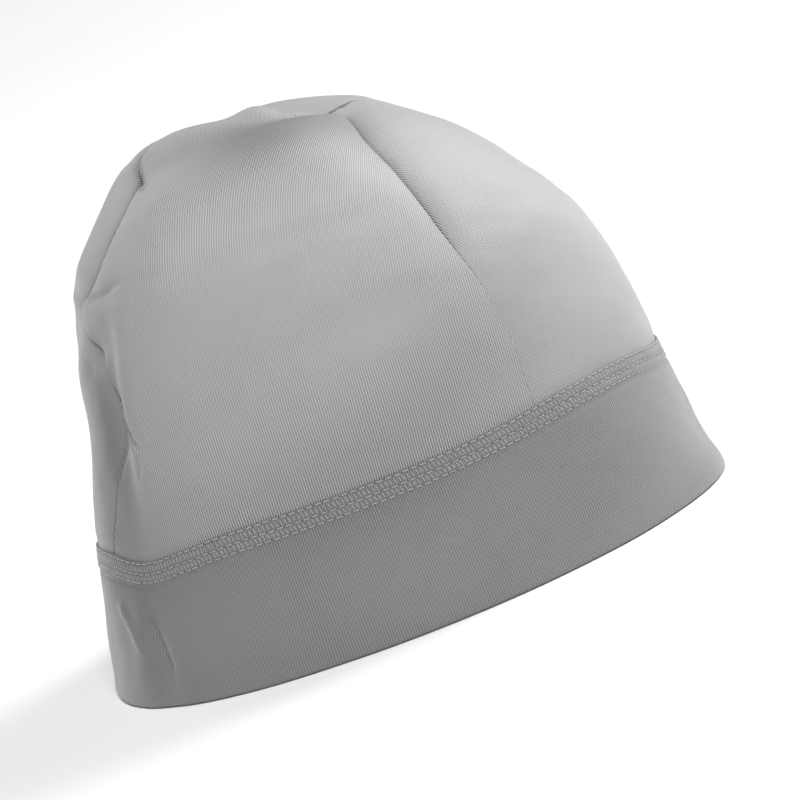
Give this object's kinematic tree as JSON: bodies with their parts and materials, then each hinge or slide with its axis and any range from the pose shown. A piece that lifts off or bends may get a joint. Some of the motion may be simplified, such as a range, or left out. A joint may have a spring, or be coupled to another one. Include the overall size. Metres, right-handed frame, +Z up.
{
  "type": "skull cap",
  "caption": "Close-fitting stretch skull cap with a panelled crown and a folded hem band joined by a flat overlapping stitch.",
  "frame": {"origin": "on the surface that the rim rests on, below the middle of the cap", "axes": "+X towards the forehead, +Y towards the wearer's left, +Z up through the crown"},
  "size_m": [0.2048, 0.1608, 0.1614],
  "materials": {
    "panel_fabric": "light grey, finely ribbed, satin",
    "band_fabric": "mid grey, finely ribbed, satin",
    "stitch_thread": "grey polyester thread"
  },
  "bodies": {
    "root": {"front_panel": "panel_fabric", "left_panel": "panel_fabric", "back_panel": "panel_fabric", "right_panel": "panel_fabric", "hem_band": "band_fabric"}
  },
  "joints": []
}
